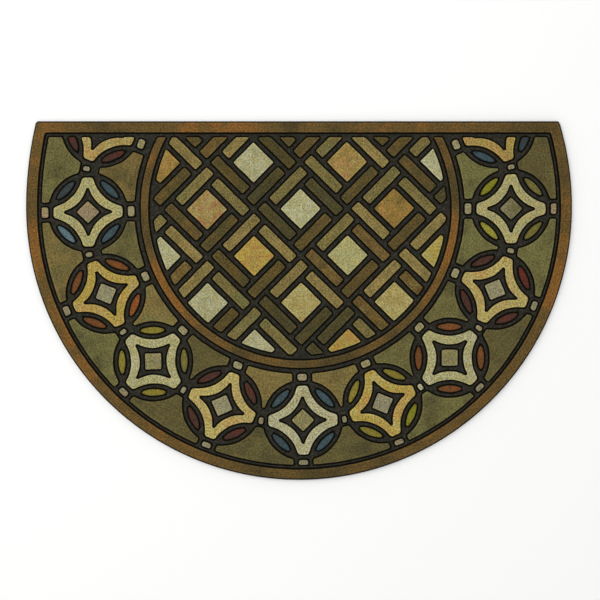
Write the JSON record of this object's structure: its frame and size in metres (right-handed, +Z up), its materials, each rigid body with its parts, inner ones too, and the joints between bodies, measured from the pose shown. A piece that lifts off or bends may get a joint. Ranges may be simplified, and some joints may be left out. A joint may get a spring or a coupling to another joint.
{
  "type": "half-round moulded doormat",
  "caption": "Half-round entrance mat: a dark-channelled felt face pressed into raised geometric tiles, bonded on a flat rubber backing that lies on the floor.",
  "frame": {"origin": "middle of the flat underside's bounding box, on the floor", "axes": "+X along the straight edge, +Y from the bowed edge towards the straight edge, +Z up out of the felt face"},
  "size_m": [0.889, 0.584, 0.008],
  "materials": {
    "rubber": "matte moulded crumb rubber, near black",
    "felt": "short printed needle felt in browns, olives, creams and ochres with charcoal channels"
  },
  "bodies": {
    "root": {"rubber_backing": "rubber", "felt_face": "felt"}
  },
  "joints": []
}
